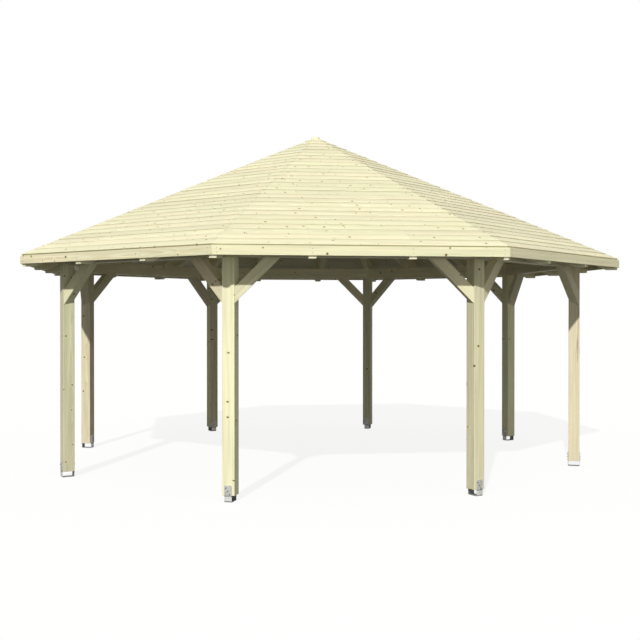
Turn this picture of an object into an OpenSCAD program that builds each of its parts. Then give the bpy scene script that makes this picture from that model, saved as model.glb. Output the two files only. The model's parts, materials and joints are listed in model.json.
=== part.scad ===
// Open octagonal garden gazebo in planed timber: eight posts on galvanised
// anchors carry a ring of beams, stiffened by head braces, and a boarded roof.
// The origin is on the ground in the middle of the octagon, +Z is up, and the
// front side faces -Y. Post 1 is at the front's left end, and the numbers run
// anticlockwise as seen from above. Side N runs from post N to the next post.

/* [Plan] */
// Distance from the gazebo's middle to the middle of each post
post_ring_r = 3000; // [2400:10:3600]
// Distance from the gazebo's middle to the outer face of the fascia, square to a side
fascia_reach = 3220; // [3180:10:3300]

/* [Posts] */
// Width of the square posts
post_w = 120; // [100:1:140]
// Height of the foot of a post above the ground
post_foot_z = 60; // [20:1:100]
// Clear height under the ring beams
head_z = 2220; // [2000:10:2500]

/* [Post anchors] */
// Width of the anchor's steel strap
strap_w = 70; // [50:1:100]
// Thickness of the strap
strap_t = 5; // [4:0.5:8]
// Height of the strap's ends above the ground
strap_top_z = 155; // [110:1:200]
// Diameter of the hole for the bolt into the foundation
base_hole_d = 14; // [10:1:20]

/* [Ring beams] */
// Width of the ring beams
beam_w = 120; // [80:1:140]
// Height of the ring beams
beam_h = 145; // [95:1:195]

/* [Head braces] */
// Thickness of a brace, square to its side of the octagon
brace_t = 95; // [60:1:100]
// Depth of a brace, in the plane of its side
brace_d = 105; // [80:1:140]
// Length of a brace's lower edge along the beam, and down the post
brace_leg = 400; // [300:10:600]

/* [Roof] */
// Slope of the roof's sides in degrees
roof_pitch = 25; // [20:0.1:32]
// Height of the roof's upper edge at the eaves
eaves_z = 2318; // [2310:1:2350]
// Thickness of the roof boards
board_t = 19; // [16:1:28]
// Thickness of the fascia boards
fascia_t = 20; // [18:1:30]
// Height of the fascia boards
fascia_h = 85; // [70:1:110]
// How far the fascia stays below the roof's upper edge
fascia_step = 18; // [10:1:20]
// Clearance in each mitre of the fascia
mitre_gap = 1; // [0.5:0.5:3]

/* [Rafters] */
// Thickness of the rafters
rafter_t = 70; // [45:1:74]
// Depth of the rafters, square to the roof
rafter_d = 145; // [120:1:160]
// Distance of a jack rafter from the middle of its side
jack_offset = 450; // [400:5:500]
// How far the rafter tails show below the fascia
tail_drop = 25; // [10:1:40]
// Width of the king block between its flats
king_w = 184; // [180:1:240]
// Width of the king block's tip, which closes the roof's peak
king_tip_w = 96; // [60:1:120]
// How far the king block hangs below the hip rafters
king_drop = 40; // [0:5:100]

/* [Hidden] */

SIDES = 8;
TURN = 360 / SIDES;
HALF = TURN / 2;
timber = "#E9DFB4";
board_timber = "#F3EBC8";
zinc = "#C6C8C6";
big = 10000;        // larger than any cut has to reach

// Square to a side: the line through the post centres, and the beam on it
post_line = post_ring_r * cos(HALF);
face_mid_out = post_w / 2 * sin(HALF);
face_mid_in = post_w / 2 * cos(HALF);
brace_out = post_line + face_mid_out + brace_t / 2;
beam_out = brace_out;
beam_in = beam_out - beam_w;
beam_top = head_z + beam_h;

// The roof's planes, as heights over the distance from the middle square to a side
fascia_back = fascia_reach - fascia_t;
rise = tan(roof_pitch);
hip_rise = rise * cos(HALF);
board_drop = board_t / cos(roof_pitch);
function roof_top(reach) = eaves_z + (fascia_back - reach) * rise;
function board_under(reach) = roof_top(reach) - board_drop;
function hip_line(r) = board_under(r * cos(HALF));
peak_z = roof_top(0);
fascia_top = eaves_z - fascia_step;
fascia_foot = fascia_top - fascia_h;
tail_z = fascia_foot - tail_drop;

// Rafters
jack_drop = rafter_d / cos(roof_pitch);
hip_drop = rafter_d / cos(atan(hip_rise));
function jack_under(reach) = board_under(reach) - jack_drop;
function hip_under(r) = hip_line(r) - hip_drop;
king_foot = hip_under(king_w / 2) - king_drop;

// Places a side that is drawn at the front, or a post piece drawn along +X
module at_side(n) { rotate([0, 0, (n - 1) * TURN]) children(); }
module at_post(n) { rotate([0, 0, -90 - HALF + (n - 1) * TURN]) children(); }

// A flat piece of a side between two distances from the middle, mitred at both ends
module mitred(near, far, foot, height, gap = 0) {
    near_half = near * tan(HALF) - gap / 2;
    far_half = far * tan(HALF) - gap / 2;
    translate([0, 0, foot]) linear_extrude(height)
        polygon([[-near_half, -near], [near_half, -near], [far_half, -far], [-far_half, -far]]);
}

// All that lies above the underside of one side's roof boards
module above_boards() {
    translate([0, -fascia_back, eaves_z - board_drop]) rotate([roof_pitch, 0, 0])
        translate([-big / 2, -big / 2, 0]) cube([big, big * 2, big / 2]);
}

// A plank on edge, from its outline in the upright plane through the middle
module plank(outline) {
    rotate([90, 0, 0]) translate([0, 0, -rafter_t / 2]) linear_extrude(rafter_t) polygon(outline);
}

module post(n) {
    color(timber) at_post(n)
        translate([post_ring_r - post_w / 2, -post_w / 2, post_foot_z])
            cube([post_w, post_w, head_z - post_foot_z]);
}

module post_anchor(n) {
    length = post_w + 2 * strap_t;
    color(zinc) at_post(n) translate([post_ring_r, 0, 0]) difference() {
        translate([-length / 2, -strap_w / 2, 0]) cube([length, strap_w, strap_top_z]);
        translate([-post_w / 2, -strap_w, strap_t]) cube([post_w, 2 * strap_w, strap_top_z]);
        translate([0, 0, -strap_t]) cylinder(h = 3 * strap_t, d = base_hole_d, $fn = 48);
    }
}

module ring_beam(n) {
    color(timber) at_side(n) mitred(beam_in, beam_out, head_z, beam_h);
}

// The left brace of the front side: a sloping board, cut to the post's side face
module left_brace() {
    inner_end = post_w / 2 * (cos(HALF) - sin(HALF));
    lower_edge = head_z - brace_leg - face_mid_in;
    width_up = brace_d * sqrt(2);
    leg_end = face_mid_in + brace_leg;
    difference() {
        translate([-post_line * tan(HALF), -(brace_out - brace_t), 0])
            rotate([90, 0, 0]) linear_extrude(brace_t) polygon([
                [inner_end, lower_edge + inner_end],
                [leg_end, head_z],
                [leg_end - width_up, head_z],
                [inner_end, lower_edge + inner_end + width_up]
            ]);
        at_post(1) translate([post_ring_r, 0, head_z / 2]) cube([post_w, post_w, big], center = true);
    }
}

module brace_pair(n) {
    color(timber) {
        at_side(n) left_brace();
        at_side(n - 1) mirror([1, 0, 0]) left_brace();
    }
}

// A hip rafter along +X, bevelled to both roof sides and notched over the ring beams.
// Its tail is cut level, and pointed to lie behind both fascia boards.
module hip_rafter() {
    top_r = king_w / 2;
    tail_start = top_r + (hip_under(top_r) - tail_z) / hip_rise;
    corner_r = fascia_back / cos(HALF);
    bevel = rafter_t * tan(HALF);
    difference() {
        intersection() {
            plank([
                [top_r, hip_under(top_r)], [tail_start, tail_z], [big, tail_z],
                [big, peak_z], [top_r, peak_z]
            ]);
            linear_extrude(big) polygon([
                [0, -rafter_t], [corner_r - bevel, -rafter_t], [corner_r, 0],
                [corner_r - bevel, rafter_t], [0, rafter_t]
            ]);
        }
        for (side_turn = [90 - HALF, 90 + HALF]) rotate([0, 0, side_turn]) {
            above_boards();
            mitred(beam_in, beam_out, head_z, beam_h);
        }
    }
}

module hip_rafters() {
    color(timber) for (n = [1:SIDES]) at_post(n) hip_rafter();
}

// The front side's right jack rafter, cut to the hip beside it and notched over the beam.
// Its tail is cut level, and plumb behind the fascia board.
module right_jack() {
    top_reach = (jack_offset - rafter_t) / tan(HALF);
    tail_start = top_reach + (jack_under(top_reach) - tail_z) / rise;
    difference() {
        rotate([0, 0, -90]) translate([0, jack_offset, 0]) plank([
            [top_reach, jack_under(top_reach)], [tail_start, tail_z], [fascia_back, tail_z],
            [fascia_back, board_under(fascia_back)], [top_reach, board_under(top_reach)]
        ]);
        at_post(2) translate([-big / 2, -rafter_t / 2, 0]) cube(big);
        mitred(beam_in, beam_out, head_z, beam_h);
    }
}

module jack_rafters() {
    color(timber) for (n = [1:SIDES]) at_side(n) {
        right_jack();
        mirror([1, 0, 0]) right_jack();
    }
}

// The octagonal block that the hip rafters butt against. Its tip stands out of the
// roof and closes the peak.
module king_block() {
    color(timber) {
        difference() {
            translate([0, 0, king_foot])
                cylinder(h = peak_z - king_foot, r = king_w / 2 / cos(HALF), $fn = SIDES);
            for (n = [1:SIDES]) at_side(n) above_boards();
        }
        rotate([0, 0, HALF]) translate([0, 0, king_foot])
            cylinder(h = peak_z - king_foot, r = king_tip_w / 2 / cos(HALF), $fn = SIDES);
    }
}

module fascia() {
    color(board_timber) for (n = [1:SIDES]) at_side(n)
        mitred(fascia_back, fascia_reach, fascia_foot, fascia_h, mitre_gap);
}

// One side of the roof: the boards' full thickness, mitred at both hips and cut
// plumb at the eaves
module roof_side(n) {
    color(board_timber) at_side(n) intersection() {
        mitred(king_tip_w / 2, fascia_back, 0, big);
        translate([0, -fascia_back, eaves_z]) rotate([roof_pitch, 0, 0])
            translate([-big / 2, -board_t, -board_t]) cube([big, big, board_t]);
    }
}

post(1);  // post_1
post(2);  // post_2
post(3);  // post_3
post(4);  // post_4
post(5);  // post_5
post(6);  // post_6
post(7);  // post_7
post(8);  // post_8
post_anchor(1);  // post_anchor_1
post_anchor(2);  // post_anchor_2
post_anchor(3);  // post_anchor_3
post_anchor(4);  // post_anchor_4
post_anchor(5);  // post_anchor_5
post_anchor(6);  // post_anchor_6
post_anchor(7);  // post_anchor_7
post_anchor(8);  // post_anchor_8
ring_beam(1);  // ring_beam_1
ring_beam(2);  // ring_beam_2
ring_beam(3);  // ring_beam_3
ring_beam(4);  // ring_beam_4
ring_beam(5);  // ring_beam_5
ring_beam(6);  // ring_beam_6
ring_beam(7);  // ring_beam_7
ring_beam(8);  // ring_beam_8
brace_pair(1);  // brace_pair_1
brace_pair(2);  // brace_pair_2
brace_pair(3);  // brace_pair_3
brace_pair(4);  // brace_pair_4
brace_pair(5);  // brace_pair_5
brace_pair(6);  // brace_pair_6
brace_pair(7);  // brace_pair_7
brace_pair(8);  // brace_pair_8
hip_rafters();
jack_rafters();
king_block();
fascia();
roof_side(1);  // roof_side_1
roof_side(2);  // roof_side_2
roof_side(3);  // roof_side_3
roof_side(4);  // roof_side_4
roof_side(5);  // roof_side_5
roof_side(6);  // roof_side_6
roof_side(7);  // roof_side_7
roof_side(8);  // roof_side_8
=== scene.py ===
import json
import math
import random

import bmesh
import bpy
from mathutils import Matrix, Vector

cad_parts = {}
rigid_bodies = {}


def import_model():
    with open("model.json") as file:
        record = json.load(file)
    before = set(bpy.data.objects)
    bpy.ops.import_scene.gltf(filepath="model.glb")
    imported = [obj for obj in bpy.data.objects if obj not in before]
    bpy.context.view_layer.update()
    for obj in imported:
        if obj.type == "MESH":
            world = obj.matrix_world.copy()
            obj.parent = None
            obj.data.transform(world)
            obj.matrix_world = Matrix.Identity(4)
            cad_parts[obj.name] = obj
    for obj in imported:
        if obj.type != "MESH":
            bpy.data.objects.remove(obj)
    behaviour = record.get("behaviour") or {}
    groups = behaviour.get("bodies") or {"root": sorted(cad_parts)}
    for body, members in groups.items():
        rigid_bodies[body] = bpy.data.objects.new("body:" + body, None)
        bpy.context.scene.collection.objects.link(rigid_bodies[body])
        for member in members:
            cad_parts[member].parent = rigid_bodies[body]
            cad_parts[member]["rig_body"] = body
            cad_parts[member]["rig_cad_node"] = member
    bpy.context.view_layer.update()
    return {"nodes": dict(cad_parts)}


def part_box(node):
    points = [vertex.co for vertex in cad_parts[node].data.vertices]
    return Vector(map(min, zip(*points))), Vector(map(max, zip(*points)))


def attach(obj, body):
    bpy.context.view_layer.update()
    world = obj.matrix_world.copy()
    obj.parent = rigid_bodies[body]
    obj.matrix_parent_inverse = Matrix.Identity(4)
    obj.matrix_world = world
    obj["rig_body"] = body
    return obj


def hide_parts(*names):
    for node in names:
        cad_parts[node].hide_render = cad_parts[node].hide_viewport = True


bl_info = {
    "name": "Octagonal Garden Gazebo",
    "version": (1, 0, 0),
    "blender": (4, 5, 0),
    "location": "3D View > Sidebar > Gazebo",
    "description": "Builds an open octagonal timber gazebo with a boarded roof",
    "category": "Object",
}

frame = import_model()

SIDES = 8
TURN = math.tau / SIDES
HALF = TURN / 2
NUMBERS = range(1, SIDES + 1)
MILLIMETRE = 0.001
MERGE = 0.01 * MILLIMETRE

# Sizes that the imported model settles, in metres
FASCIA_LOW, FASCIA_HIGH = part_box("fascia")
FASCIA_REACH = -FASCIA_LOW.y
ROOF_LOW, ROOF_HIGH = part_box("roof_side_1")
EAVES_REACH = -ROOF_LOW.y
TIP_REACH = -ROOF_HIGH.y
ANCHOR_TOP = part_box("post_anchor_1")[1].z
KING_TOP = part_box("king_block")[1].z
POST_LOW, POST_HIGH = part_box("post_1")
POST_FOOT = POST_LOW.z
POST_RING = (POST_LOW + POST_HIGH).xy.length / 2
POST_WIDTH = (POST_HIGH - POST_LOW).x / (math.cos(HALF) + math.sin(HALF))

# Sizes of the construction that no box gives, in metres
JACK_PLACE = 0.45
RAFTER_HALF_WIDTH = 0.035

# Turns a round bar from upright to lying along +X
LYING = (0, math.pi / 2, 0)
# A direction whose part along an axis is larger than this runs along that axis
ALIGNED = 0.9
# Values of the painted-shade attribute underneath a roof board and in the corner behind the fascia, where
# the material paints shade
UNDERSIDE_SHADE = 1.8
CORNER_SHADE = 4.0


def screen_colour(red, green, blue):
    """A colour as a screen names it, 0 to 255, in the linear values that Blender works with."""
    def linear(part):
        part /= 255
        return part / 12.92 if part <= 0.04045 else ((part + 0.055) / 1.055) ** 2.4
    return (linear(red), linear(green), linear(blue))


# ---------------------------------------------------------------- properties


def length_setting(name, description, default):
    """A length that a user may change, in metres."""
    return bpy.props.FloatProperty(name=name, description=description, default=default,
                                   subtype="DISTANCE", unit="LENGTH")


def angle_setting(name, description, degrees):
    """An angle that a user may change."""
    return bpy.props.FloatProperty(name=name, description=description,
                                   default=math.radians(degrees), subtype="ANGLE", unit="ROTATION")


def colour_setting(name, description, red, green, blue):
    """A colour that a user may change, given as a screen names it."""
    return bpy.props.FloatVectorProperty(
        name=name, description=description, default=screen_colour(red, green, blue),
        subtype="COLOR", size=3, min=0, max=1)


class GazeboRoofSettings(bpy.types.PropertyGroup):
    """Sizes of the roof boards and their fixings."""

    pitch: angle_setting("Roof slope", "Slope of the roof's sides", 25)
    thickness: length_setting("Board thickness", "Mean thickness of a roof board", 0.019)
    cover: length_setting("Board cover", "Width of a row of boards up the slope", 0.12557)
    first_edge: length_setting(
        "First overlap", "Distance from the eaves to the lower edge of the second row", 0.127)
    step: length_setting("Step", "Height of a board's lower edge above the row below it", 0.0055)
    lip_reach: length_setting("Eaves lip", "How far the first board's lip stands out over the fascia", 0.014)
    overlap: length_setting("Overlap", "How far each board reaches under the row above it", 0.009)
    shadow_gap: length_setting("Shadow gap", "Open height under a board's lower edge", 0.0027)
    joint_gap: length_setting("Joint gap", "Gap where two boards of a row butt", 0.0005)


class GazeboTimberSettings(bpy.types.PropertyGroup):
    """Colours of the timbers, and the sizes of their growth rings and knots."""

    board_colour: colour_setting("Roof boards", "Colour of the roof boards", 248, 246, 216)
    post_colour: colour_setting("Posts", "Colour of the posts and the fascia", 243, 239, 207)
    frame_colour: colour_setting("Frame", "Colour of the ring beams and braces", 233, 228, 198)
    # Paler than the frame as painted light, standing in for the light that the rafters' sides catch under
    # the roof
    rafter_colour: colour_setting("Rafters", "Colour of the rafters and the king block", 252, 250, 216)
    late_colour: colour_setting("Late wood", "Colour of the dark part of a growth ring", 205, 176, 122)
    knot_colour: colour_setting("Knots", "Colour of the knots", 132, 118, 76)
    end_colour: colour_setting("End grain", "Colour of the sawn ends", 250, 245, 222)
    ring_width: length_setting("Growth ring", "Mean width of a growth ring", 0.0036)
    knot_radius: length_setting("Knot radius", "Radius of a large knot", 0.0105)
    arris: length_setting("Arris", "Width of the rounding along a timber's edges", 0.003)


class GazeboFixingSettings(bpy.types.PropertyGroup):
    """Sizes of the post anchors, the screws and the nails."""

    strap_thickness: length_setting("Strap thickness", "Thickness of the anchors' steel strap", 0.005)
    strap_width: length_setting("Strap width", "Width of the anchors' steel strap", 0.070)
    bend_radius: length_setting("Bend radius", "Radius of the bends at the foot of an anchor", 0.010)
    corner_radius: length_setting(
        "Corner radius", "Radius of the corners at the top of an anchor's legs", 0.008)
    bolt_hole: length_setting("Bolt hole", "Radius of the hole in an anchor's foot", 0.007)
    leg_hole: length_setting("Leg hole", "Radius of the open hole in each leg of an anchor", 0.0045)
    nail_radius: length_setting("Nail head", "Radius of a roof nail's head", 0.004)
    screw_radius: length_setting("Screw head", "Radius of a timber screw's head", 0.0045)
    zinc_colour: colour_setting("Zinc", "Colour of the galvanised anchors", 186, 188, 184)


class GazeboStageSettings(bpy.types.PropertyGroup):
    """The floor, the light and the camera."""

    sun_strength: bpy.props.FloatProperty(
        name="Key light", description="Strength of the key light",
        default=2.8, min=0)
    sun_height: angle_setting("Key light height", "Angle of the key light above the horizon", 32)
    sun_turn: angle_setting(
        "Key light direction", "Where the key light comes from, anticlockwise from +X", -110)
    sky_strength: bpy.props.FloatProperty(
        name="Fill light", description="Strength of the even light from all round",
        default=0.30, min=0)
    softbox_power: bpy.props.FloatProperty(
        name="Front softbox", description="Power of the wide softbox that stands at the front, in watts",
        default=310, min=0)
    camera_place: bpy.props.FloatVectorProperty(
        name="Camera", description="Place of the camera",
        default=(-1.5825, -11.9415, 1.7103), subtype="TRANSLATION", unit="LENGTH", size=3)
    camera_turn: angle_setting("Camera turn", "How far the camera looks to the right of +Y", 7.804)
    camera_tilt: angle_setting("Camera tilt", "How far the camera looks down", 0.386)
    lens: bpy.props.FloatProperty(
        name="Lens", description="Focal length of the camera in millimetres",
        default=56.627, min=1)


# ------------------------------------------------------------ working helpers


def only(*pieces):
    """Makes these pieces the selected ones, and the first of them the active one."""
    bpy.ops.object.select_all(action="DESELECT")
    for piece in pieces:
        piece.select_set(True)
    bpy.context.view_layer.objects.active = pieces[0]


def edit(piece, kind="FACE"):
    """Opens a piece in edit mode with nothing selected."""
    only(piece)
    bpy.ops.object.mode_set(mode="EDIT")
    bpy.ops.mesh.select_mode(type=kind)
    bpy.ops.mesh.select_all(action="DESELECT")


def edit_end(piece, axis="x"):
    """Opens a piece in edit mode with the face at its far end along an axis selected."""
    edit(piece)
    pick(piece, "faces", lambda face: getattr(face.normal, axis) > ALIGNED)


def close():
    """Leaves edit mode."""
    bpy.ops.object.mode_set(mode="OBJECT")


def pick(piece, kind, test):
    """In edit mode, selects the faces, edges or vertices that pass a test, and nothing else."""
    bpy.ops.mesh.select_mode(type={"faces": "FACE", "edges": "EDGE", "verts": "VERT"}[kind])
    bpy.ops.mesh.select_all(action="DESELECT")
    form = bmesh.from_edit_mesh(piece.data)
    for element in getattr(form, kind):
        element.select_set(bool(test(element)))
    form.select_flush_mode()
    bmesh.update_edit_mesh(piece.data)


def middle(edge):
    """The middle point of an edge."""
    return (edge.verts[0].co + edge.verts[1].co) / 2


def runs_along(edge, axis):
    """Whether an edge runs along an axis, which is "x" or "y"."""
    reach = (edge.verts[1].co - edge.verts[0].co).normalized()
    return abs(getattr(reach, axis)) > ALIGNED


def block(name, low, high):
    """A new box between two corners, the start of a piece."""
    low, high = Vector(low), Vector(high)
    bpy.ops.object.select_all(action="DESELECT")
    bpy.ops.mesh.primitive_cube_add(size=1, location=(low + high) / 2, scale=high - low)
    piece = bpy.context.object
    piece.name = name
    bpy.ops.object.transform_apply(location=True, rotation=True, scale=True)
    return piece


def rod(vertices, radius, depth, place, lean=(0, 0, 0)):
    """A new round bar about a place, the start of a screw, a nail or a drill."""
    bpy.ops.object.select_all(action="DESELECT")
    bpy.ops.mesh.primitive_cylinder_add(vertices=vertices, radius=radius, depth=depth,
                                        location=place, rotation=lean)
    bpy.ops.object.transform_apply(location=True, rotation=True, scale=True)
    return bpy.context.object


def copied(piece, name, placing):
    """A copy of a piece with its own mesh, moved by a matrix that is then applied."""
    only(piece)
    bpy.ops.object.duplicate()
    copy = bpy.context.object
    copy.name = name
    copy.matrix_world = placing @ copy.matrix_world
    bpy.ops.object.transform_apply(location=True, rotation=True, scale=True)
    return copy


def joined(name, pieces):
    """Joins pieces into one object."""
    only(*pieces)
    if len(pieces) > 1:
        bpy.ops.object.join()
    piece = bpy.context.object
    piece.name = name
    piece.data.name = name
    return piece


def applied(piece, kind, **settings):
    """Adds a modifier to a piece and applies it."""
    only(piece)
    modifier = piece.modifiers.new(kind.title(), kind)
    for key, value in settings.items():
        setattr(modifier, key, value)
    bpy.ops.object.modifier_apply(modifier=modifier.name)


def removed(*pieces):
    """Deletes patterns that have been copied from."""
    only(*pieces)
    bpy.ops.object.delete()


def scattered(pattern, name, placings):
    """Copies a pattern to many places, deletes it and joins the copies."""
    copies = [copied(pattern, "copy", placing) for placing in placings]
    removed(pattern)
    return joined(name, copies)


def hand_over(piece, finish, slot, *nodes):
    """Gives a finished piece its material and its body; the slot is not used."""
    piece.data.materials.clear()
    piece.data.materials.append(finish)
    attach(piece, "root")
    if nodes:
        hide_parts(*nodes)


def cad_copy(node, name):
    """A copy of a CAD node whose loose triangles are merged into whole faces."""
    only(frame["nodes"][node])
    bpy.ops.object.duplicate()
    piece = bpy.context.object
    piece.name = name
    piece.data.name = name
    bpy.ops.object.parent_clear(type="CLEAR_KEEP_TRANSFORM")
    del piece["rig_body"]
    del piece["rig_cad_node"]
    bpy.ops.mesh.customdata_custom_splitnormals_clear()
    edit(piece)
    bpy.ops.mesh.select_all(action="SELECT")
    bpy.ops.mesh.remove_doubles(threshold=MERGE)
    bpy.ops.mesh.dissolve_limited(angle_limit=math.radians(0.5))
    close()
    bpy.ops.object.shade_flat()
    return piece


def round_edges(width, segments=2):
    """Rounds the edges that are selected in edit mode, and leaves edit mode."""
    bpy.ops.mesh.bevel(offset=width, segments=segments, affect="EDGES", clamp_overlap=True)
    close()


def round_timber(piece, width):
    """Rounds all edges of a timber and marks the new faces as its arrises."""
    flats = {tuple(round(part, 4) for part in face.normal) for face in piece.data.polygons}
    edit(piece, "EDGE")
    bpy.ops.mesh.select_all(action="SELECT")
    round_edges(width)
    mark_arrises(piece, [Vector(flat) for flat in flats])


def mark(piece, name, domain, values):
    """Writes a number on each point or face of a piece, for the material to read."""
    piece.data.attributes.new(name, "FLOAT", domain).data.foreach_set("value", values)


def mark_arrises(piece, flats):
    """Marks the faces whose normal is none of the flat ones; the material lightens them as a painted
    highlight.
    """
    aligned = 0.99995
    on_arris = [float(not any(face.normal.dot(flat) > aligned for flat in flats))
            for face in piece.data.polygons]
    mark(piece, "arris", "FACE", on_arris)


def timbers_of(piece):
    """Parts a piece into its separate timbers, in a fixed order."""
    only(piece)
    bpy.ops.mesh.separate(type="LOOSE")
    return sorted(bpy.context.selected_objects, key=lambda timber: (timber is not piece, timber.name))


def mark_grain(timber, draw, heart, spread=0.03, look=None, along=None, facing=None):
    """Cuts a timber from its own place in a log, for the material to read.

    The grain attribute holds each point's distance along the log and its place across the log,
    counted from the log's heart, which lies behind the facing side of a board that is sawn flat.
    The tone attribute is how much lighter or darker the timber is than others, and the hue
    attribute runs from greenish to pinkish. A look is a tone and a hue that are given.
    """
    mesh = timber.data
    corners = [vertex.co for vertex in mesh.vertices]
    if along is None:
        along = max((corners[b] - corners[a] for a, b in (edge.vertices for edge in mesh.edges)),
                    key=lambda reach: reach.length).normalized()
    turn = draw.uniform(-0.5, 0.5) if facing else draw.uniform(0, math.tau)
    across = Matrix.Rotation(turn, 3, along) @ (facing or along.orthogonal().normalized())
    through = along.cross(across)
    centre = sum(corners, Vector()) / len(corners)
    start = draw.uniform(1, 60)
    depth = heart * draw.uniform(0.85, 1.6)
    farthest = 2 * spread
    tone = max(-farthest, min(farthest, draw.gauss(0, spread)))
    hue = 0.5 + (draw.random() - 0.5) * 6 * farthest
    if look:
        tone, hue = look
    grain = []
    for corner in corners:
        place = corner - centre
        grain.extend((place.dot(along) + start, place.dot(across) + depth, place.dot(through)))
    mesh.attributes.new("grain", "FLOAT_VECTOR", "POINT").data.foreach_set("vector", grain)
    mark(timber, "tone", "POINT", [tone] * len(corners))
    mark(timber, "hue", "POINT", [hue] * len(corners))
    mark(timber, "end_grain", "FACE",
         [float(abs(face.normal.dot(along)) > 0.6) for face in mesh.polygons])


def timber_piece(node, name, arris, heart, look=None):
    """A CAD node as rounded timbers, each with a grain and a shade of its own."""
    piece = cad_copy(node, name)
    round_timber(piece, arris)
    draw = random.Random(name)
    timbers = timbers_of(piece)
    for timber in timbers:
        mark_grain(timber, draw, heart, 0.05, look)
    return joined(name, timbers)


def side_turn(number):
    """Turns what is drawn at the front to a side of the octagon."""
    return Matrix.Rotation((number - 1) * TURN, 4, "Z")


def post_turn(number):
    """Turns what is drawn along +X to a post."""
    return Matrix.Rotation((number - 1) * TURN - math.pi / 2 - HALF, 4, "Z")


# ------------------------------------------------------------------ materials


class Wire:
    """A value that runs between nodes. Python's arithmetic on it adds Math nodes."""

    def __init__(self, finish, socket):
        self.finish = finish
        self.socket = socket

    def math(self, operation, *terms):
        """Adds a Math node on these terms."""
        node = self.finish.tree.nodes.new("ShaderNodeMath")
        node.operation = operation
        for socket, term in zip(node.inputs, terms):
            self.finish.plug(socket, term)
        return Wire(self.finish, node.outputs["Value"])

    def __add__(self, other):
        return self.math("ADD", self, other)

    def __radd__(self, other):
        return self.math("ADD", other, self)

    def __sub__(self, other):
        return self.math("SUBTRACT", self, other)

    def __rsub__(self, other):
        return self.math("SUBTRACT", other, self)

    def __mul__(self, other):
        return self.math("MULTIPLY", self, other)

    def __rmul__(self, other):
        return self.math("MULTIPLY", other, self)

    def __truediv__(self, other):
        return self.math("DIVIDE", self, other)

    def __rtruediv__(self, other):
        return self.math("DIVIDE", other, self)

    def __pow__(self, other):
        return self.math("POWER", self, other)

    def fraction(self):
        """What is left after the whole number."""
        return self.math("FRACT", self)

    def distance(self):
        """Its size without a sign."""
        return self.math("ABSOLUTE", self)

    def largest(self, other):
        """The larger of two values."""
        return self.math("MAXIMUM", self, other)

    def angle_over(self, other):
        """The angle whose tangent is this value over another."""
        return self.math("ARCTAN2", self, other)

    def clamped(self):
        """Held between 0 and 1."""
        return self.math("MAXIMUM", self.math("MINIMUM", self, 1.0), 0.0)

    def above(self, limit):
        """1 where the value is above a limit and 0 elsewhere."""
        return self.math("GREATER_THAN", self, limit)

    def rise(self, start, end):
        """Goes smoothly from 0 at start to 1 at end."""
        return self.finish.add("ShaderNodeMapRange", "Result", {"interpolation_type": "SMOOTHSTEP"},
                               {"Value": self, "From Min": start, "From Max": end})


class Finish:
    """The node tree of a material or a world that is being made. One method adds any node."""

    def __init__(self, owner):
        self.owner = owner
        owner.use_nodes = True
        self.tree = owner.node_tree
        self.tree.nodes.clear()

    def plug(self, socket, value):
        """Links a wire to a socket, or sets the socket's value."""
        if isinstance(value, Wire):
            self.tree.links.new(value.socket, socket)
        elif socket.type == "RGBA":
            socket.default_value = (*value[:3], 1)
        else:
            socket.default_value = value

    def add(self, kind, outputs, settings=None, sockets=None):
        """Adds a node with its settings, then its sockets' values or wires, and returns its outputs."""
        node = self.tree.nodes.new(kind)
        for key, value in (settings or {}).items():
            setattr(node, key, value)
        for key, value in (sockets or {}).items():
            self.plug(node.inputs[key], value)
        if isinstance(outputs, str):
            return Wire(self, node.outputs[outputs])
        return [Wire(self, node.outputs[output]) for output in outputs]

    def read(self, attribute, output="Fac"):
        """Reads one of the piece's attributes."""
        return self.add("ShaderNodeAttribute", output, {"attribute_name": attribute})

    def parts(self, vector):
        """The three values of a vector."""
        return self.add("ShaderNodeSeparateXYZ", ("X", "Y", "Z"), None, {"Vector": vector})

    def vector(self, x, y, z):
        """A vector of three values."""
        return self.add("ShaderNodeCombineXYZ", "Vector", None, {"X": x, "Y": y, "Z": z})

    def noise(self, place, scale=1.0, detail=2.0, roughness=0.5):
        """Noise from 0 to 1."""
        return self.add("ShaderNodeTexNoise", "Fac", None,
                        {"Vector": place, "Scale": scale, "Detail": detail, "Roughness": roughness})

    def mix(self, amount, first, second, blend="MIX"):
        """Blends two colours."""
        node = self.tree.nodes.new("ShaderNodeMix")
        node.data_type = "RGBA"
        node.blend_type = blend
        self.plug(node.inputs[0], amount)
        self.plug(node.inputs[6], first)
        self.plug(node.inputs[7], second)
        return Wire(self, node.outputs[2])

    def scaled(self, colour, amount):
        """A colour made lighter or darker."""
        return self.add("ShaderNodeVectorMath", "Vector", {"operation": "SCALE"},
                        {0: colour, "Scale": amount})

    def edge_band(self, width):
        """1 along the piece's own edges and 0 on its flats."""
        square = self.add("ShaderNodeNewGeometry", "Normal")
        rounded = self.add("ShaderNodeBevel", "Normal", {"samples": 4}, {"Radius": width})
        turned = self.add("ShaderNodeVectorMath", "Value", {"operation": "DOT_PRODUCT"},
                          {0: square, 1: rounded})
        return 1 - turned.rise(0.75, 0.99)

    def surface(self, sockets):
        """Ends the tree in a Principled shader."""
        shader = self.add("ShaderNodeBsdfPrincipled", "BSDF", None, sockets)
        self.add("ShaderNodeOutputMaterial", (), None, {"Surface": shader})
        return self.owner


def toned(colour, share):
    """A colour made darker or lighter, but no lighter than white."""
    return tuple(min(1.0, part * share) for part in colour)


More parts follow.
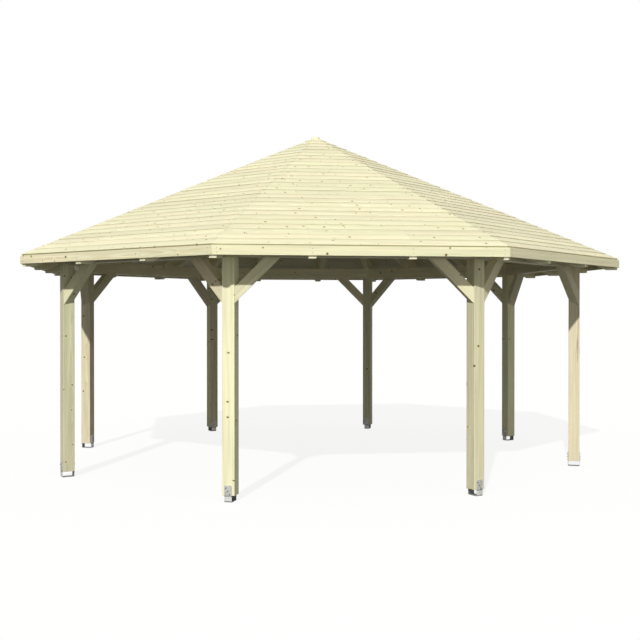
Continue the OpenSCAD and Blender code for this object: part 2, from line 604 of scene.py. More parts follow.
class Softwood(Finish):
    """Planed softwood, cut from a log: growth rings, fibres, knots and drying cracks."""

    def __init__(self, name):
        super().__init__(bpy.data.materials.new(name))
        self.along, self.across, self.through = self.parts(self.read("grain", "Vector"))

    def streaks(self, long_scale, cross_scale, detail, roughness=0.5):
        """Noise that is drawn out along the grain."""
        place = self.vector(self.along * long_scale, self.across * cross_scale,
                            self.through * cross_scale)
        return self.noise(place, 1.0, detail, roughness)

    def place_in_log(self):
        """Distance from the log's heart, and the bearing round it.

        The heart wanders, so that the rings meet the faces in long arches.
        """
        sway = (self.streaks(0.55, 1.6, 2.0) - 0.5) * 0.05
        lean = (self.streaks(0.7, 2.3, 2.0) - 0.5) * 0.05
        over = self.across + sway
        beside = self.through + lean
        return (over * over + beside * beside) ** 0.5, beside.angle_over(over)

    def knots(self, radius, bearing, knot_radius, share):
        """Knots that run out from the heart. Each cell along and round the log may hold one.

        Returns the knots, their dark rims, the wood that bends round them, the distance from a
        knot's middle in knot radii, and how dark the knot is.
        """
        gap = 0.19
        turn = 0.85
        cell = self.vector(self.along / gap, bearing / turn, 0.0)
        chance, spot = self.add("ShaderNodeTexVoronoi", ("Color", "Position"),
                                {"voronoi_dimensions": "2D"}, {"Vector": cell, "Scale": 1.0})
        presence, size, depth = self.parts(chance)
        spot_along, spot_round = self.parts(spot)[:2]
        off_along = self.along - spot_along * gap
        off_round = (bearing - spot_round * turn) * radius
        wobble = self.noise(self.vector(self.along, self.across, self.through), 90.0, 2.0) - 0.5
        off = (off_along * off_along + off_round * off_round) ** 0.5 * (1 + wobble * 0.5)
        out = off / ((size * 0.65 + 0.45) * knot_radius)
        there = presence.above(1 - share)
        knot = (1 - out.rise(0.82, 1.05)) * there
        rim = (1 - (out - 0.95).distance().rise(0.0, 0.22)) * there
        halo = there / (1 + out * out * out * 0.12)
        return knot, rim, halo, out, depth

    def late_wood(self, radius, halo, ring_width):
        """The dark part of each growth ring. The rings are pushed aside by the knots."""
        drift = self.streaks(2.2, 28.0, 2.0) - 0.5
        ring = (radius / ring_width + halo * 2.2 + drift * 1.5).fraction()
        return ring.rise(0.25, 0.92) * (1 - ring.rise(0.93, 1.0))

    def lightness(self, figure, fibre, figured):
        """How light the wood is: the timber's own tone, patches and streaks, less the painted shade towards
        each row's upper edge under the next row's lip, underneath the boards and behind the fascia.
        """
        patch = self.streaks(1.1, 5.0, 2.0)
        covered = self.read("covered")
        own_lightness = (1 + self.read("tone") + (patch - 0.5) * 0.16 + (figure - 0.5) * figured
                    + (fibre - 0.5) * 0.10)
        # Painted shade under the next row's lip, underneath the boards and in the corner behind the fascia
        return (own_lightness - covered.rise(0.45, 1.0) * (0.03 + figure * 0.16)
                - covered.rise(1.1, CORNER_SHADE) * 0.6)

    def tinted(self, wood, play):
        """The wood, here greenish and there pinkish."""
        hue = self.read("hue") + (self.streaks(0.6, 24.0, 2.0) - 0.5) * play
        tint = self.mix(hue.clamped(), (0.94, 1.01, 0.94), (1.045, 0.97, 0.98))
        return self.mix(1.0, wood, tint, "MULTIPLY")

    def drying_cracks(self):
        """Fine cracks along the grain, open in some stretches."""
        path = self.streaks(0.35, 9.0, 3.0, 0.55) - 0.5
        stretch = self.streaks(0.9, 3.0, 1.0).rise(0.56, 0.66)
        return (1 - path.distance().rise(0.0, 0.010)) * stretch


def timber_finish(name, colour_key, knot_share, cracks=0.0, play=0.5, figured=0.44):
    """A softwood finish. Colour_key is the name of a setting of the timbers.

    Knot_share is how many of the places for a knot hold one, and cracks is how deep the drying
    cracks are. Play is how far the colour goes between greenish and pinkish within one timber,
    and figured is how strongly its streaks stand out.
    """
    if name in bpy.data.materials:
        return bpy.data.materials[name]
    timber = bpy.context.scene.gazebo_timber
    colour = tuple(getattr(timber, colour_key))
    knot_colour = tuple(timber.knot_colour)
    finish = Softwood(name)
    radius, bearing = finish.place_in_log()
    knot, rim, halo, out, depth = finish.knots(radius, bearing, timber.knot_radius, knot_share)
    late = finish.late_wood(radius, halo, timber.ring_width)
    fibre = finish.streaks(9.0, 520.0, 2.0, 0.6)
    figure = finish.streaks(1.1, 36.0, 3.0, 0.6)

    # Colour, from the widest change to the finest
    wood = finish.mix(late * 0.30 * (0.6 + figure * 0.8), colour, tuple(timber.late_colour))
    wood = finish.scaled(wood, finish.lightness(figure, fibre, figured))
    wood = finish.tinted(wood, play)
    honey = tuple(part * weight for part, weight in zip(colour, (0.92, 0.84, 0.68)))
    wood = finish.mix(halo * 0.45, wood, honey)
    wood = finish.mix(finish.read("end_grain") * 0.6, wood, tuple(timber.end_colour))
    # Painted highlight: the rounded edges are made lighter, as if they catch the light
    wood = finish.mix(finish.read("arris") * 0.3, wood, toned(colour, 1.04))
    knot_wood = finish.mix((out * 3.1).fraction() * 0.5, knot_colour, toned(knot_colour, 0.62))
    wood = finish.mix(knot, wood, finish.scaled(knot_wood, depth * 0.5 + 0.75))
    wood = finish.mix(rim * 0.8, wood, toned(knot_colour, 0.34))

    relief = late * 0.35 + fibre * 0.45 + knot * 0.4 - rim * 0.5
    if cracks:
        crack = finish.drying_cracks() * cracks
        wood = finish.mix(crack * 0.75, wood, toned(knot_colour, 0.25))
        relief = relief - crack * 3.0
    roughness = 0.66 + (fibre - 0.5) * 0.12 - late * 0.08 - knot * 0.12
    normal = finish.add("ShaderNodeBump", "Normal", None,
                        {"Strength": 0.35, "Distance": 0.0005, "Height": relief})
    return finish.surface({"Base Color": wood, "Roughness": roughness, "Normal": normal,
                           "Specular IOR Level": 0.25})


def zinc_finish(name, colour, metallic, roughness):
    """Hot-dip zinc: dull spangles, scuffs and lighter edges, with painted shade in the bends, under the
    post's foot and on the faces that look at the post, and a painted highlight up the legs.
    """
    if name in bpy.data.materials:
        return bpy.data.materials[name]
    finish = Finish(bpy.data.materials.new(name))
    place = finish.add("ShaderNodeTexCoord", "Object")
    spangle = finish.add("ShaderNodeTexVoronoi", "Color", None, {"Vector": place, "Scale": 160.0})
    flake = finish.add("ShaderNodeSeparateXYZ", "X", None, {"Vector": spangle})
    bloom = finish.noise(place, 26.0, 3.0, 0.6)
    scuff = finish.noise(place, 140.0, 3.0, 0.65).rise(0.60, 0.72)
    edge = finish.edge_band(0.002)
    # Bands up the legs: painted shade in the bends, a painted highlight on the stretch above them, and
    # painted shade just under the post's foot
    height = finish.parts(place)[2] + (bloom - 0.5) * 0.012
    bend = 1 - height.rise(0.007, 0.012)
    highlight_band = height.rise(0.010, 0.018) * (1 - height.rise(0.046, 0.056))
    foot_shade = 1 - (height - (POST_FOOT - 2 * MILLIMETRE)).distance().rise(0.002, 0.007)
    shade = 0.66 + flake * 0.40 + bloom * 0.26 - scuff * 0.14 + edge * 0.25
    shade = (shade + highlight_band * 0.34) * (1 - foot_shade * 0.45) * (1 - bend * 0.35)
    # Painted shade on the faces that look at the post
    shade = shade * (1 - finish.read("inner") * 0.7)
    normal = finish.add("ShaderNodeBump", "Normal", None,
                        {"Strength": 0.25, "Distance": 0.0003, "Height": bloom + scuff * 0.4})
    return finish.surface({"Base Color": finish.scaled(colour, shade), "Metallic": metallic,
                           "Roughness": roughness + (flake - 0.5) * 0.14 + bloom * 0.10,
                           "Normal": normal, "Specular IOR Level": 0.35})


def board_timber():
    """The finish of the roof boards."""
    return timber_finish("Roof_softwood", "board_colour", knot_share=0.42, play=0.35)


def fascia_timber():
    """The finish of the fascia."""
    return timber_finish("Fascia_softwood", "post_colour", knot_share=0.6, play=1.0, figured=0.62)


def post_timber():
    """The finish of the posts."""
    return timber_finish("Post_softwood", "post_colour", knot_share=0.42, cracks=0.8, play=1.0, figured=0.62)


def frame_timber():
    """The finish of the ring beams and braces."""
    return timber_finish("Frame_softwood", "frame_colour", knot_share=0.2, cracks=0.5, play=0.6)


def rafter_timber():
    """The finish of the rafters and the king block, whose colour is paler than the frame's as painted light.
    """
    return timber_finish("Rafter_softwood", "rafter_colour", knot_share=0.2, cracks=0.5, play=0.4)


def anchor_zinc():
    """The finish of the post anchors."""
    colour = tuple(bpy.context.scene.gazebo_fixing.zinc_colour)
    return zinc_finish("Galvanised_steel", colour, metallic=0.2, roughness=0.5)


def nail_zinc():
    """The finish of the roof nails."""
    return zinc_finish("Nail_zinc", (0.55, 0.54, 0.50), metallic=0.2, roughness=0.5)


def screw_steel():
    """The finish of the screws."""
    return zinc_finish("Screw_steel", (0.27, 0.27, 0.25), metallic=0.5, roughness=0.38)


# ------------------------------------------------------------------ operators


class GAZEBO_OT_posts(bpy.types.Operator):
    """Makes the eight square posts."""

    bl_idname = "gazebo.posts"
    bl_label = "Posts"

    def execute(self, context):
        arris = context.scene.gazebo_timber.arris
        # From the front left post on, anticlockwise
        looks = ((0.06, 0.25), (-0.12, 0.40), (-0.15, 0.70), (0.16, 0.15),
                 (-0.22, 0.10), (-0.16, 0.20), (-0.14, 0.80), (-0.18, 0.25))
        for number, look in zip(NUMBERS, looks):
            node = f"post_{number}"
            post = timber_piece(node, f"Post_{number}", arris * 1.3, heart=0.13, look=look)
            hand_over(post, post_timber(), "post_timber", node)
        return {"FINISHED"}


class GAZEBO_OT_ring_beams(bpy.types.Operator):
    """Makes the ring beams, mitred over the posts."""

    bl_idname = "gazebo.ring_beams"
    bl_label = "Ring beams"

    def execute(self, context):
        arris = context.scene.gazebo_timber.arris
        # From the front on, anticlockwise. The tones are partly painted light and shade: the front and
        # left-front beams are darker as painted shade under the eaves, and the back beams are lighter as
        # painted light.
        looks = ((-0.16, 0.35), (0.0, 0.35), (0.06, 0.6), (0.14, 0.5),
                 (0.12, 0.4), (0.15, 0.6), (0.12, 0.5), (-0.14, 0.3))
        for number, look in zip(NUMBERS, looks):
            node = f"ring_beam_{number}"
            beam = timber_piece(node, f"Ring_beam_{number}", arris, heart=0.12, look=look)
            hand_over(beam, frame_timber(), "beam_timber", node)
        return {"FINISHED"}


class GAZEBO_OT_head_braces(bpy.types.Operator):
    """Makes the two head braces of each post."""

    bl_idname = "gazebo.head_braces"
    bl_label = "Head braces"

    def execute(self, context):
        arris = context.scene.gazebo_timber.arris
        for number in NUMBERS:
            node = f"brace_pair_{number}"
            braces = timber_piece(node, f"Head_braces_{number}", arris, heart=0.11)
            hand_over(braces, frame_timber(), "brace_timber", node)
        return {"FINISHED"}


class GAZEBO_OT_rafters(bpy.types.Operator):
    """Makes the hip rafters and the jack rafters."""

    bl_idname = "gazebo.rafters"
    bl_label = "Rafters"

    def execute(self, context):
        arris = context.scene.gazebo_timber.arris
        for node, name in (("hip_rafters", "Hip_rafters"), ("jack_rafters", "Jack_rafters")):
            rafters = timber_piece(node, name, arris * 0.7, heart=0.11)
            hand_over(rafters, rafter_timber(), "rafter_timber", node)
        return {"FINISHED"}


class GAZEBO_OT_king_block(bpy.types.Operator):
    """Makes the block that the hip rafters meet at, with its tip through the roof."""

    bl_idname = "gazebo.king_block"
    bl_label = "King block"

    def execute(self, context):
        arris = context.scene.gazebo_timber.arris
        king = cad_copy("king_block", "King_block")
        flats = [face.normal.copy() for face in king.data.polygons]
        edit(king, "EDGE")
        pick(king, "edges", lambda edge: middle(edge).z > KING_TOP - MILLIMETRE)
        round_edges(3 * arris, segments=3)
        mark_arrises(king, flats)
        mark_grain(king, random.Random("King_block"), heart=0.02, along=Vector((0, 0, 1)))
        hand_over(king, rafter_timber(), "rafter_timber", "king_block")
        return {"FINISHED"}


class GAZEBO_OT_fascia(bpy.types.Operator):
    """Makes the eight fascia boards, mitred at the corners."""

    bl_idname = "gazebo.fascia"
    bl_label = "Fascia"

    def execute(self, context):
        arris = context.scene.gazebo_timber.arris
        fascia = timber_piece("fascia", "Fascia", arris * 0.8, heart=0.15)
        hand_over(fascia, fascia_timber(), "fascia_boards", "fascia")
        return {"FINISHED"}


class GAZEBO_OT_roof_boards(bpy.types.Operator):
    """Lays the roof boards row by row and cuts them to the hips."""

    bl_idname = "gazebo.roof_boards"
    bl_label = "Roof boards"

    def execute(self, context):
        roof = context.scene.gazebo_roof
        row_board = self.row_board(roof)
        eaves_board = self.eaves_board(roof)
        spare = 20 * MILLIMETRE
        for number in NUMBERS:
            draw = random.Random(f"roof side {number}")
            to_side = side_turn(number) @ front_slope(roof)
            boards = []
            for row, start in enumerate(self.row_starts(roof)):
                reach = EAVES_REACH + roof.lip_reach - start * math.cos(roof.pitch)
                half = reach * math.tan(HALF) + spare
                cuts = self.joints(half, draw)
                pattern = row_board if row else eaves_board
                for left, right in zip(cuts, cuts[1:]):
                    lift = draw.uniform(-0.9, 0.9) * MILLIMETRE
                    placing = (Matrix.Translation(((left + right) / 2, start, lift))
                               @ Matrix.Diagonal((right - left - roof.joint_gap, 1, 1, 1)))
                    only(pattern)
                    bpy.ops.object.duplicate()
                    board = bpy.context.object
                    board.matrix_world = to_side @ placing
                    boards.append(board)
            only(*boards)
            bpy.ops.object.transform_apply(location=True, rotation=True, scale=True)
            run = to_side.to_3x3() @ Vector((1, 0, 0))
            face = to_side.to_3x3() @ Vector((0, 0, 1))
            for board in boards:
                mark_grain(board, draw, heart=0.10, along=run, facing=face)
            roof_side = joined(f"Roof_side_{number}", boards)
            self.cut_to_hips(roof_side, number)
            hand_over(roof_side, board_timber(), "roof_boards", f"roof_side_{number}")
        removed(row_board, eaves_board)
        return {"FINISHED"}

    def row_starts(self, roof):
        """Distances up the slope from the eaves to each row's lower edge."""
        rows = math.ceil(rows_above_first(roof))
        return [0.0] + [roof.first_edge + row * roof.cover for row in range(rows)]

    def joints(self, half, draw):
        """Where a row's boards begin and end: some long rows have a joint over a jack rafter."""
        spot = draw.choice([None, None, None, -JACK_PLACE, JACK_PLACE])
        shortest_board = 0.17
        if spot is None or half < JACK_PLACE + shortest_board:
            return [-half, half]
        return [-half, spot + draw.uniform(-10, 10) * MILLIMETRE, half]

    def row_board(self, roof):
        """One board, 1 m long, with a rebate that leaves a shadow gap over the row below it."""
        board = self.sloped_block("Row_board", roof.overlap, roof.cover + roof.overlap, roof)
        self.draw_out(board, roof.shadow_gap - roof.step / 2, roof.overlap)
        return self.eased(board, roof.cover)

    def eaves_board(self, roof):
        """The first board: wider, plumb behind the fascia, with a lip over the fascia's top."""
        lean = math.tan(roof.pitch)
        front = roof.step / 2 * lean
        board = self.sloped_block("Eaves_board", front, roof.first_edge + roof.overlap, roof)
        pick(board, "edges", lambda edge: middle(edge).y < front + MILLIMETRE and middle(edge).z < 0
             and runs_along(edge, "x"))
        bpy.ops.transform.translate(value=(0, -(roof.thickness + roof.step / 2) * lean, 0))
        self.draw_out(board, 0, roof.lip_reach)
        return self.eased(board, roof.first_edge)

    def sloped_block(self, name, front, back, roof):
        """A board between two places up the slope, thicker at its lower edge. Opens edit mode."""
        clearance = 0.2 * MILLIMETRE
        board = block(name, (-0.5, front, -roof.thickness), (0.5, back - clearance, roof.step / 2))
        edit(board)
        pick(board, "edges", lambda edge: middle(edge).y > front + MILLIMETRE and middle(edge).z > 0
             and runs_along(edge, "x"))
        bpy.ops.transform.translate(value=(0, 0, -roof.step * back / roof.cover))
        return board

    def draw_out(self, board, under, reach):
        """Draws the part of a board's front that lies above a height out into a lip."""
        bpy.ops.mesh.select_all(action="SELECT")
        bpy.ops.mesh.bisect(plane_co=(0, 0, under), plane_no=(0, 0, 1))
        pick(board, "faces", lambda face: face.normal.y < -0.7
             and face.calc_center_median().z > under)
        bpy.ops.mesh.extrude_region_move(TRANSFORM_OT_translate={"value": (0, -reach, 0)})

    def eased(self, board, cover):
        """Rounds a board's lower edge, leaves edit mode and marks the board for the material.

        The painted-shade attribute goes from 0 at the lower edge to 1 where the next row covers it, and is
        higher still underneath and in the corner behind the fascia; the material darkens the wood by it as
        painted shade.
        """
        bpy.ops.mesh.select_all(action="SELECT")
        bpy.ops.mesh.normals_make_consistent(inside=False)
        front = min(vertex.co.y for vertex in bmesh.from_edit_mesh(board.data).verts)
        top = max(vertex.co.z for vertex in bmesh.from_edit_mesh(board.data).verts)
        near = 0.1 * MILLIMETRE
        pick(board, "edges", lambda edge: middle(edge).y < front + near
             and middle(edge).z > top - near and runs_along(edge, "x"))
        bpy.ops.mesh.bevel(offset=1.6 * MILLIMETRE, segments=2, affect="EDGES")
        close()
        smallest_flat = 0.0015
        flats = [face.normal.copy() for face in board.data.polygons
                 if face.area > smallest_flat or abs(face.normal.x) > ALIGNED]
        mark_arrises(board, flats)
        under = min(vertex.co.z for vertex in board.data.vertices) + MILLIMETRE
        # Painted shade: the material darkens each board towards the row above, underneath and behind the
        # fascia by these values
        covered = []
        for vertex in board.data.vertices:
            if vertex.co.z < 0 and vertex.co.y < 0:
                covered.append(CORNER_SHADE)
            elif vertex.co.z < under:
                covered.append(UNDERSIDE_SHADE)
            else:
                covered.append(max(0.0, vertex.co.y / cover))
        mark(board, "covered", "POINT", covered)
        return board

    def cut_to_hips(self, roof_side, number):
        """Cuts the boards plumb along both hips and round the king block's tip."""
        turn = side_turn(number).to_3x3()
        gap = 0.4 * MILLIMETRE
        for hand in (-1, 1):
            outward = turn @ Vector((hand * math.cos(HALF), math.sin(HALF), 0))
            self.cut(roof_side, -gap * outward, outward)
        outward = turn @ Vector((0, 1, 0))
        self.cut(roof_side, -TIP_REACH * outward, outward)

    def cut(self, roof_side, point, outward):
        """Cuts away what lies beyond a plane and closes the boards' ends."""
        edit(roof_side)
        bpy.ops.mesh.select_all(action="SELECT")
        bpy.ops.mesh.bisect(plane_co=point, plane_no=outward, use_fill=True, clear_outer=True)
        close()


def front_slope(roof):
    """Lays what is drawn flat, with y up the slope, on the front side of the roof."""
    eaves_height = ROOF_HIGH.z - (EAVES_REACH - TIP_REACH) * math.tan(roof.pitch)
    return Matrix.Translation((0, -EAVES_REACH, eaves_height)) @ Matrix.Rotation(roof.pitch, 4, "X")


def rows_above_first(roof):
    """How many rows of boards there is room for from the second row to the peak."""
    length = (EAVES_REACH - TIP_REACH) / math.cos(roof.pitch)
    return (length - roof.first_edge) / roof.cover


class GAZEBO_OT_post_anchors(bpy.types.Operator):
    """Bends the anchor straps and drills them, one for each post."""

    bl_idname = "gazebo.post_anchors"
    bl_label = "Post anchors"

    def execute(self, context):
        strap = self.bent_strap(context.scene.gazebo_fixing)
        for number in NUMBERS:
            anchor = copied(strap, f"Post_anchor_{number}", post_turn(number))
            hand_over(anchor, anchor_zinc(), "galvanised_anchor", f"post_anchor_{number}")
        removed(strap)
        return {"FINISHED"}

    def bent_strap(self, fixing):
        """A flat strap bent up at both ends, with rounded corners and its holes."""
        thick = fixing.strap_thickness
        reach = (POST_WIDTH + thick) / 2
        outer = 0.9 * reach
        bpy.ops.object.select_all(action="DESELECT")
        bpy.ops.mesh.primitive_plane_add(size=1, location=(POST_RING, 0, thick / 2))
        strap = bpy.context.object
        bpy.ops.transform.resize(value=(2 * reach, fixing.strap_width, 1))
        bpy.ops.object.transform_apply(location=True, rotation=True, scale=True)
        edit(strap)
        for hand in (-1, 1):
            pick(strap, "edges", lambda edge: hand * (middle(edge).x - POST_RING) > outer
                 and runs_along(edge, "y"))
            bpy.ops.mesh.extrude_region_move(
                TRANSFORM_OT_translate={"value": (0, 0, ANCHOR_TOP - thick / 2)})
        pick(strap, "edges", lambda edge: runs_along(edge, "y") and middle(edge).z < thick
             and abs(middle(edge).x - POST_RING) > outer)
        bpy.ops.mesh.bevel(offset=fixing.bend_radius, segments=6, affect="EDGES")
        pick(strap, "verts", lambda vertex: vertex.co.z > ANCHOR_TOP - MILLIMETRE)
        bpy.ops.mesh.bevel(offset=fixing.corner_radius, segments=4, affect="VERTICES")
        bpy.ops.mesh.select_all(action="SELECT")
        bpy.ops.mesh.normals_make_consistent(inside=False)
        close()
        applied(strap, "SOLIDIFY", thickness=thick, offset=0)
        for drill in self.drills(fixing):
            applied(strap, "BOOLEAN", operation="DIFFERENCE", object=drill, solver="EXACT")
            removed(drill)
        applied(strap, "BEVEL", width=0.6 * MILLIMETRE, segments=2, limit_method="ANGLE",
                angle_limit=math.radians(50))
        bpy.ops.object.shade_smooth_by_angle(angle=math.radians(35))
        self.mark_inner_faces(strap)
        return strap

    def mark_inner_faces(self, strap):
        """Marks the faces that look at the post's foot, which the material darkens as painted shade."""
        centre = Vector((POST_RING, 0, ANCHOR_TOP))
        inner = [float(face.normal.dot(centre - face.center) > 0 and abs(face.normal.y) < 0.5
                       and face.normal.z < ALIGNED) for face in strap.data.polygons]
        mark(strap, "inner", "FACE", inner)

    def drills(self, fixing):
        """Round cutters for the base hole and the open hole of each leg."""
        depth = 0.04
        aside = 0.023
        below_top = 0.057
        drills = [rod(32, fixing.bolt_hole, depth, (POST_RING, 0, 0))]
        for hand in (-1, 1):
            place = (POST_RING + hand * POST_WIDTH / 2, hand * aside, ANCHOR_TOP - below_top)
            drills.append(rod(20, fixing.leg_hole, depth, place, LYING))
        return drills


class GAZEBO_OT_anchor_screws(bpy.types.Operator):
    """Puts three hexagon screws with washers into each leg of the post anchors."""

    bl_idname = "gazebo.anchor_screws"
    bl_label = "Anchor screws"

    def execute(self, context):
        face = POST_WIDTH / 2 + context.scene.gazebo_fixing.strap_thickness
        # Across the leg and up it, in a slanting row
        spots = ((-0.022, 0.131), (-0.003, 0.102), (0.015, 0.073))
        twist = 0.4
        placings = []
        for number in NUMBERS:
            for hand in (0, 1):
                leg = post_turn(number) @ Matrix.Translation((POST_RING, 0, 0)) @ Matrix.Rotation(
                    hand * math.pi, 4, "Z")
                for spot, (across, up) in enumerate(spots):
                    placings.append(leg @ Matrix.Translation((face, across, up))
                                    @ Matrix.Rotation(twist * (spot + number), 4, "X"))
        screws = scattered(self.hexagon_screw(), "Anchor_screws", placings)
        hand_over(screws, screw_steel(), "galvanised_anchor")
        return {"FINISHED"}

    def hexagon_screw(self):
        """A hexagon head on a washer, pointing along +X from the strap's face."""
        washer_radius = 0.0095
        washer_height = 0.0014
        head_radius = 0.0075
        head_height = 0.0052
        washer = rod(24, washer_radius, washer_height, (washer_height / 2, 0, 0), LYING)
        edit_end(washer)
        bpy.ops.mesh.bevel(offset=0.4 * MILLIMETRE, segments=1, affect="EDGES")
        close()
        head = rod(6, head_radius, head_height, (washer_height + head_height / 2, 0, 0), LYING)
        edit_end(head)
        bpy.ops.mesh.bevel(offset=0.7 * MILLIMETRE, segments=2, affect="EDGES")
        pick(head, "faces", lambda face: face.normal.x > 0.99)
        bpy.ops.mesh.inset(thickness=1.2 * MILLIMETRE, depth=0)
        bpy.ops.mesh.inset(thickness=0.8 * MILLIMETRE, depth=-0.6 * MILLIMETRE)
        close()
        return joined("Hexagon_screw", [washer, head])


class GAZEBO_OT_fascia_screws(bpy.types.Operator):
    """Puts two countersunk screws through the fascia into each rafter tail."""

    bl_idname = "gazebo.fascia_screws"
    bl_label = "Fascia screws"

    def execute(self, context):
        pattern = countersunk_screw(context.scene.gazebo_fixing.screw_radius)
        from_corner = 0.045
        beside_hip = FASCIA_REACH * math.tan(HALF) - from_corner
        heights = [FASCIA_LOW.z + share * (FASCIA_HIGH.z - FASCIA_LOW.z) for share in (0.28, 0.72)]
        facing = Matrix.Rotation(-math.pi / 2, 4, "Z")
        placings = []
        for number in NUMBERS:
            for across in (-beside_hip, -JACK_PLACE, JACK_PLACE, beside_hip):
                for height in heights:
                    place = Matrix.Translation((across, -FASCIA_REACH, height))
                    placings.append(side_turn(number) @ place @ facing)
        screws = scattered(pattern, "Fascia_screws", placings)
        hand_over(screws, screw_steel(), "galvanised_anchor")
        return {"FINISHED"}


def countersunk_screw(radius):
    """A screw head that lies flush and points along +X, with a star-like recess."""
    screw = rod(16, radius, 2 * MILLIMETRE, (-0.6 * MILLIMETRE, 0, 0), LYING)
    edit_end(screw)
    bpy.ops.mesh.inset(thickness=radius * 0.45, depth=-0.2 * MILLIMETRE)
    bpy.ops.mesh.inset(thickness=radius * 0.08, depth=-1.2 * MILLIMETRE)
    close()
    return screw


class GAZEBO_OT_roof_nails(bpy.types.Operator):
    """Nails each row of boards to the rafters, two nails to a crossing."""

    bl_idname = "gazebo.roof_nails"
    bl_label = "Roof nails"

    def execute(self, context):
        roof = context.scene.gazebo_roof
        radius = context.scene.gazebo_fixing.nail_radius
        pair = self.nail_pair(roof, radius)
        drift = math.cos(roof.pitch) * math.tan(HALF) * roof.cover
        hip_rows = int(rows_above_first(roof)) - 1
        # A jack rafter's nails stop short of the hip
        jack_end = (JACK_PLACE + 2 * RAFTER_HALF_WIDTH) / math.tan(HALF)
        jack_length = (EAVES_REACH - jack_end) / math.cos(roof.pitch)
        jack_rows = int(jack_length / roof.cover) - 1
        from_hip = 0.024
        at_first = EAVES_REACH - roof.first_edge * math.cos(roof.pitch)
        hip = at_first * math.tan(HALF) - from_hip / math.cos(HALF)
        lines = []
        for hand in (-1, 1):
            for across, aside, rows in ((hip, -drift, hip_rows), (JACK_PLACE, 0.0, jack_rows)):
                line = self.line(pair, hand * aside, roof.cover, rows)
                place = Matrix.Translation((hand * across, roof.first_edge, 0))
                lines.append(scattered(line, "line", [front_slope(roof) @ place]))
        removed(pair)
        front = joined("front", lines)
        nails = scattered(front, "Roof_nails", [side_turn(number) for number in NUMBERS])
        hand_over(nails, nail_zinc(), "galvanised_anchor")
        return {"FINISHED"}

    def nail_pair(self, roof, radius):
        """Two low domed heads on the sloping face of a board whose lower edge is at y = 0."""
        lean = (-math.atan(roof.step / roof.cover), 0, 0)
        heads = []
        for share in (0.24, 0.78):
            place = (0, share * roof.cover, roof.step * (0.5 - share))
            head = rod(8, radius, 2 * MILLIMETRE, place, lean)
            edit_end(head, "z")
            bpy.ops.mesh.inset(thickness=radius * 0.4, depth=0.4 * MILLIMETRE)
            pick(head, "faces", lambda face: face.normal.z < -ALIGNED)
            bpy.ops.mesh.delete(type="FACE")
            close()
            heads.append(head)
        return joined("Nail_pair", heads)

    def line(self, pair, aside, cover, rows):
        """A pair of nails in every row along one rafter."""
        line = copied(pair, "line", Matrix.Identity(4))
        applied(line, "ARRAY", count=rows, use_relative_offset=False, use_constant_offset=True,
                constant_offset_displace=(aside, cover, 0))
        return line


class GAZEBO_OT_stage(bpy.types.Operator):
    """Sets the pale floor, the soft light and the camera."""

    bl_idname = "gazebo.stage"
    bl_label = "Stage"

    def execute(self, context):
        stage = context.scene.gazebo_stage
        self.floor()
        self.sky(context.scene, stage.sky_strength)
        self.key_light(stage)
        self.softbox(stage.softbox_power)
        self.camera(context.scene, stage)
        context.scene.view_settings.view_transform = "Standard"
        return {"FINISHED"}

    def floor(self):
        """A wide floor that looks white, keeps the shadow and throws little light back."""
        glow = 0.878
        in_light = (0.16, 0.16, 0.16)
        thrown_back = (0.075, 0.075, 0.07)
        bpy.ops.object.select_all(action="DESELECT")
        bpy.ops.mesh.primitive_plane_add(size=400)
        floor = bpy.context.object
        floor.name = "Floor"
        finish = Finish(bpy.data.materials.new("Floor_pale"))
        seen = seen_rays(finish)
        dull = finish.add("ShaderNodeBsdfDiffuse", "BSDF", None, {"Color": thrown_back})
        shaded = finish.add("ShaderNodeBsdfDiffuse", "BSDF", None, {"Color": in_light})
        white = finish.add("ShaderNodeEmission", "Emission", None,
                           {"Color": (1, 1, 1), "Strength": glow})
        pale = finish.add("ShaderNodeAddShader", "Shader", None, {0: shaded, 1: white})
        mixed = finish.add("ShaderNodeMixShader", "Shader", None, {0: seen, 1: dull, 2: pale})
        finish.add("ShaderNodeOutputMaterial", (), None, {"Surface": mixed})
        floor.data.materials.append(finish.owner)

    def sky(self, scene, strength):
        """Even light from all round; the camera and reflections see white."""
        scene.world = bpy.data.worlds.new("Studio")
        finish = Finish(scene.world)
        light = finish.add("ShaderNodeBackground", "Background", None,
                           {"Color": (0.985, 0.975, 0.905), "Strength": strength})
        white = finish.add("ShaderNodeBackground", "Background", None,
                           {"Color": (1, 1, 1), "Strength": 1.0})
        mixed = finish.add("ShaderNodeMixShader", "Shader", None,
                           {0: seen_rays(finish), 1: light, 2: white})
        finish.add("ShaderNodeOutputWorld", (), None, {"Surface": mixed})

    def key_light(self, stage):
        """A distant lamp with crisp shadows, high at the front left."""
        flat = math.cos(stage.sun_height)
        towards = Vector((flat * math.cos(stage.sun_turn), flat * math.sin(stage.sun_turn),
                          math.sin(stage.sun_height)))
        bpy.ops.object.light_add(type="SUN", location=towards * 20)
        lamp = bpy.context.object
        lamp.name = "Key_light"
        lamp.rotation_euler = towards.to_track_quat("Z", "Y").to_euler()
        lamp.data.energy = stage.sun_strength
        lamp.data.angle = math.radians(1.2)
        lamp.data.color = (1.0, 0.985, 0.955)

    def softbox(self, power):
        """A wide, low and weak softbox at the front, which lights the shaded side of the posts."""
        place = (2.5, -16, 1.6)
        bpy.ops.object.light_add(type="AREA", location=place, rotation=(math.pi / 2, 0, 0))
        lamp = bpy.context.object
        lamp.name = "Front_softbox"
        lamp.data.shape = "RECTANGLE"
        lamp.data.size = 14
        lamp.data.size_y = 3
        lamp.data.energy = power
        lamp.data.color = (1.0, 0.98, 0.94)
        lamp.visible_camera = False
        lamp.visible_glossy = False

    def camera(self, scene, stage):
        """Eye height, a little to the left of the front side."""
        bpy.ops.object.camera_add(
            location=stage.camera_place,
            rotation=(math.pi / 2 - stage.camera_tilt, 0, -stage.camera_turn))
        camera = bpy.context.object
        camera.name = "Camera"
        camera.data.sensor_width = 36
        camera.data.lens = stage.lens
        camera.data.clip_end = 500
        scene.camera = camera


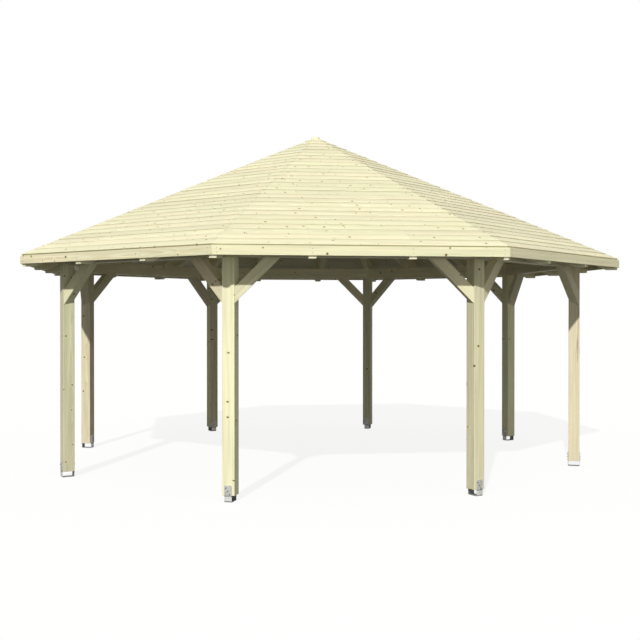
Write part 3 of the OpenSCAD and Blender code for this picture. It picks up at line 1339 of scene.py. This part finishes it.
def seen_rays(finish):
    """1 for rays that the camera, a reflection or clear glass sees, 0 for light."""
    camera, glossy, through = finish.add(
        "ShaderNodeLightPath", ("Is Camera Ray", "Is Glossy Ray", "Is Transmission Ray"))
    return camera.largest(glossy).largest(through)


class GAZEBO_PT_builder(bpy.types.Panel):
    """Lists the gazebo's pieces and their sizes."""

    bl_idname = "GAZEBO_PT_builder"
    bl_label = "Garden gazebo"
    bl_space_type = "VIEW_3D"
    bl_region_type = "UI"
    bl_category = "Gazebo"

    def draw(self, context):
        layout = self.layout
        for title, settings in (("Roof", context.scene.gazebo_roof),
                                ("Timber", context.scene.gazebo_timber),
                                ("Fixings", context.scene.gazebo_fixing),
                                ("Stage", context.scene.gazebo_stage)):
            box = layout.box()
            box.label(text=title)
            for key in settings.__annotations__:
                box.prop(settings, key)
        for step in STEPS:
            layout.operator(step.bl_idname)


STEPS = (
    GAZEBO_OT_stage,
    GAZEBO_OT_post_anchors,
    GAZEBO_OT_anchor_screws,
    GAZEBO_OT_posts,
    GAZEBO_OT_ring_beams,
    GAZEBO_OT_head_braces,
    GAZEBO_OT_rafters,
    GAZEBO_OT_king_block,
    GAZEBO_OT_fascia,
    GAZEBO_OT_fascia_screws,
    GAZEBO_OT_roof_boards,
    GAZEBO_OT_roof_nails,
)
SETTINGS = {
    "gazebo_roof": GazeboRoofSettings,
    "gazebo_timber": GazeboTimberSettings,
    "gazebo_fixing": GazeboFixingSettings,
    "gazebo_stage": GazeboStageSettings,
}


def register():
    """Registers the settings, the operators and the panel."""
    for key, group in SETTINGS.items():
        bpy.utils.register_class(group)
        setattr(bpy.types.Scene, key, bpy.props.PointerProperty(type=group))
    for step in STEPS:
        bpy.utils.register_class(step)
    bpy.utils.register_class(GAZEBO_PT_builder)


def unregister():
    """Takes away what register added."""
    bpy.utils.unregister_class(GAZEBO_PT_builder)
    for step in reversed(STEPS):
        bpy.utils.unregister_class(step)
    for key, group in SETTINGS.items():
        delattr(bpy.types.Scene, key)
        bpy.utils.unregister_class(group)


def main():
    """Builds the gazebo step by step."""
    register()
    for step in STEPS:
        area, name = step.bl_idname.split(".")
        getattr(getattr(bpy.ops, area), name)()


if __name__ == "__main__":
    main()
